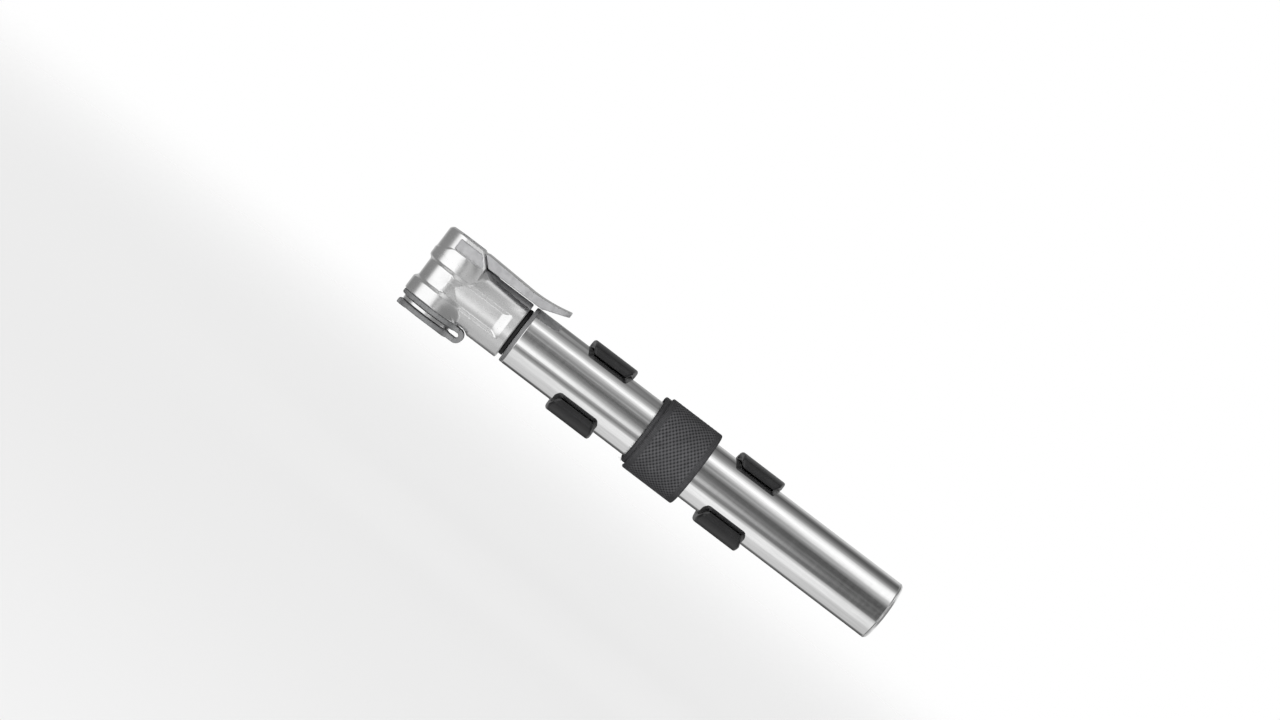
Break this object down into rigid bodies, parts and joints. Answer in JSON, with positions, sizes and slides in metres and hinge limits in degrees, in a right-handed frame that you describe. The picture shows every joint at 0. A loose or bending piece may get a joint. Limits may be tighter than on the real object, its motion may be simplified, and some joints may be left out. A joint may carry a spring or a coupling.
{
  "type": "bicycle mini pump",
  "caption": "Slim hand pump with a telescoping handle tube, thumb-lever nozzle head and tethered dust cap, held in a clip bracket with a hook-and-loop strap.",
  "frame": {"origin": "middle of the two bolt slots, on the underside of the bracket's plate", "axes": "+X along the pump towards its tail, +Y from the pump across the frame tube, +Z away from the frame tube"},
  "size_m": [0.1997, 0.0518, 0.0333],
  "materials": {
    "black_plastic": "satin black moulding",
    "strap_fabric": "woven charcoal hook-and-loop tape",
    "polished_aluminium": "polished, faint lengthways lines",
    "satin_aluminium": "satin turned",
    "cast_alloy": "matte bead-blasted casting",
    "bright_steel": "bright zinc",
    "black_steel": "black oxide",
    "black_nylon": "matte moulding",
    "white_nylon": "matte moulding",
    "grey_nylon": "satin moulding",
    "black_rubber": "matte",
    "grey_rubber": "soft matte moulding"
  },
  "bodies": {
    "bracket": {"bracket": "black_plastic", "strap_band": "strap_fabric", "strap_flap": "strap_fabric"},
    "pump": {"head_body": "polished_aluminium", "lever_pin": "bright_steel", "valve_gasket": "black_rubber", "nozzle_collar": "polished_aluminium", "check_valve_seat": "white_nylon", "check_valve_spring": "bright_steel", "barrel_seal": "black_rubber", "bumper_ring": "black_rubber", "dust_cap_ring": "grey_rubber", "dust_cap_strap": "grey_rubber", "barrel": "satin_aluminium", "barrel_end_guide": "black_nylon", "rod_buffer": "black_rubber"},
    "lever": {"thumb_lever": "cast_alloy"},
    "plunger": {"plunger": "black_nylon", "plunger_seal": "black_rubber"},
    "check_valve": {"check_valve_poppet": "black_rubber"},
    "cap_lid": {"dust_cap_lid": "grey_rubber"},
    "handle": {"handle_sleeve": "polished_aluminium", "handle_collar": "grey_nylon", "handle_end_cap": "polished_aluminium", "end_cap_screw": "black_steel", "piston_rod": "satin_aluminium", "piston": "black_nylon", "piston_seal": "black_rubber", "piston_screw": "bright_steel"}
  },
  "joints": [
    {"name": "pump_release", "type": "slide", "parent": "bracket", "child": "pump", "axis": [-1, 0, 0], "range_m": [0, 0.14]},
    {"name": "handle_pull", "type": "slide", "parent": "pump", "child": "handle", "axis": [1, 0, 0], "range_m": [0, 0.13]},
    {"name": "lever_hinge", "type": "hinge", "parent": "pump", "child": "lever", "pos_m": [-0.0943, -0.028, 0.015], "axis": [0, -1, 0], "range_deg": [0, 90]},
    {"name": "plunger_slide", "type": "slide", "parent": "pump", "child": "plunger", "axis": [0, 0, -1], "range_m": [0, 0.0012], "deforming": ["valve_gasket"]},
    {"name": "check_valve_lift", "type": "slide", "parent": "pump", "child": "check_valve", "axis": [-1, 0, 0], "range_m": [0, 0.0008], "stiffness_N_per_m": 20, "springref_m": -0.0005, "deforming": ["check_valve_spring"]},
    {"name": "dust_cap_hinge", "type": "hinge", "parent": "pump", "child": "cap_lid", "pos_m": [-0.0805, -0.028, -0.01035], "axis": [0, -1, 0], "range_deg": [0, 150], "deforming": ["dust_cap_strap"]}
  ],
  "couplings": [
    {"joint": "plunger_slide", "follows": "lever_hinge", "m_per_rad": 0.00076394}
  ]
}
